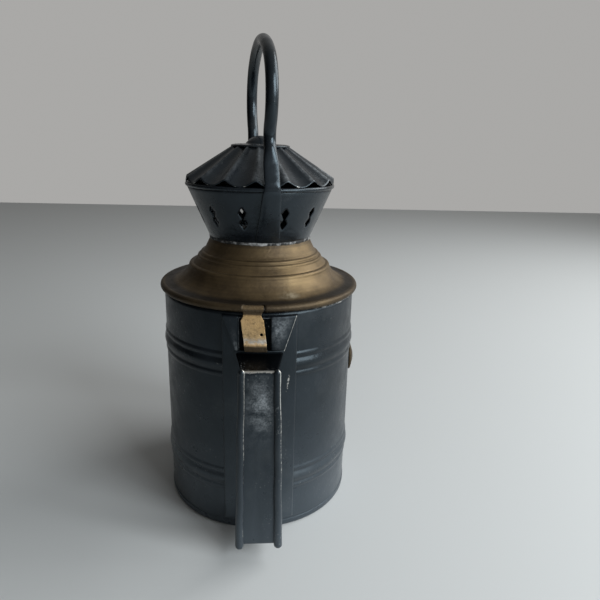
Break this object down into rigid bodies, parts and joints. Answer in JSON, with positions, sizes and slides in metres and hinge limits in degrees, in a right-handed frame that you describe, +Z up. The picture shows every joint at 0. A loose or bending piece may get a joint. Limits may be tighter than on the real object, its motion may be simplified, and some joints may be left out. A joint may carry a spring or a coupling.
{
  "type": "candle lantern",
  "caption": "Hand signal lantern for a candle: beaded black body with grip and lens, hinged brass hood, vented collar, fluted cap and carrying bail.",
  "frame": {"origin": "centre of the base, on the plane that the lantern stands on", "axes": "+Z up along the body's axis, +Y out of the lens, -Y out of the hand grip, +X towards the signal knob"},
  "size_m": [0.1335, 0.1692, 0.2986],
  "materials": {
    "black_paint": "worn satin black",
    "old_brass": "aged and pitted",
    "pale_brass": "rubbed and pitted",
    "dull_steel": "dull",
    "solder": "rough grey solder",
    "tinplate": "dull tinned sheet",
    "silvered": "polished",
    "clear_glass": "clear",
    "red_glass": "clear red",
    "wax": "waxy",
    "wick_cotton": "charred"
  },
  "bodies": {
    "body": {"body_shell": "black_paint", "base_pan": "black_paint", "back_plate": "black_paint", "grip_handle": "black_paint", "body_hinge_leaf": "black_paint", "lens_bezel": "black_paint", "lens_ring": "old_brass", "hinge_pin": "old_brass", "hinge_rivet_left": "old_brass", "hinge_rivet_right": "old_brass", "shaft_bush": "old_brass", "shaft_bearing": "old_brass", "candle_socket": "old_brass", "candle_tray": "tinplate", "reflector_stud": "tinplate", "reflector": "silvered", "front_lens": "clear_glass", "candle": "wax", "wick": "wick_cotton"},
    "lid": {"hood": "old_brass", "rim_wire": "dull_steel", "latch_pin": "dull_steel", "hood_skirt": "dull_steel", "lid_hinge_leaf": "old_brass", "collar": "black_paint", "collar_solder": "solder", "fluted_cap": "black_paint", "cap_crown": "black_paint", "bail": "black_paint"},
    "hasp": {"latch_tongue": "pale_brass"},
    "signal": {"signal_knob": "old_brass", "knob_shaft": "dull_steel", "glass_frame": "old_brass", "signal_glass": "red_glass"}
  },
  "joints": [
    {"name": "lid_hinge", "type": "hinge", "parent": "body", "child": "lid", "pos_m": [0, 0.0682, 0.1485], "axis": [-1, 0, 0], "range_deg": [0, 100]},
    {"name": "latch_swing", "type": "hinge", "parent": "lid", "child": "hasp", "pos_m": [-0.00392, -0.06233, 0.1485], "axis": [-0.998, 0.0628, 0], "range_deg": [0, 120]},
    {"name": "glass_swing", "type": "hinge", "parent": "body", "child": "signal", "pos_m": [0, 0.012, 0.089], "axis": [1, 0, 0], "range_deg": [0, 90]}
  ]
}
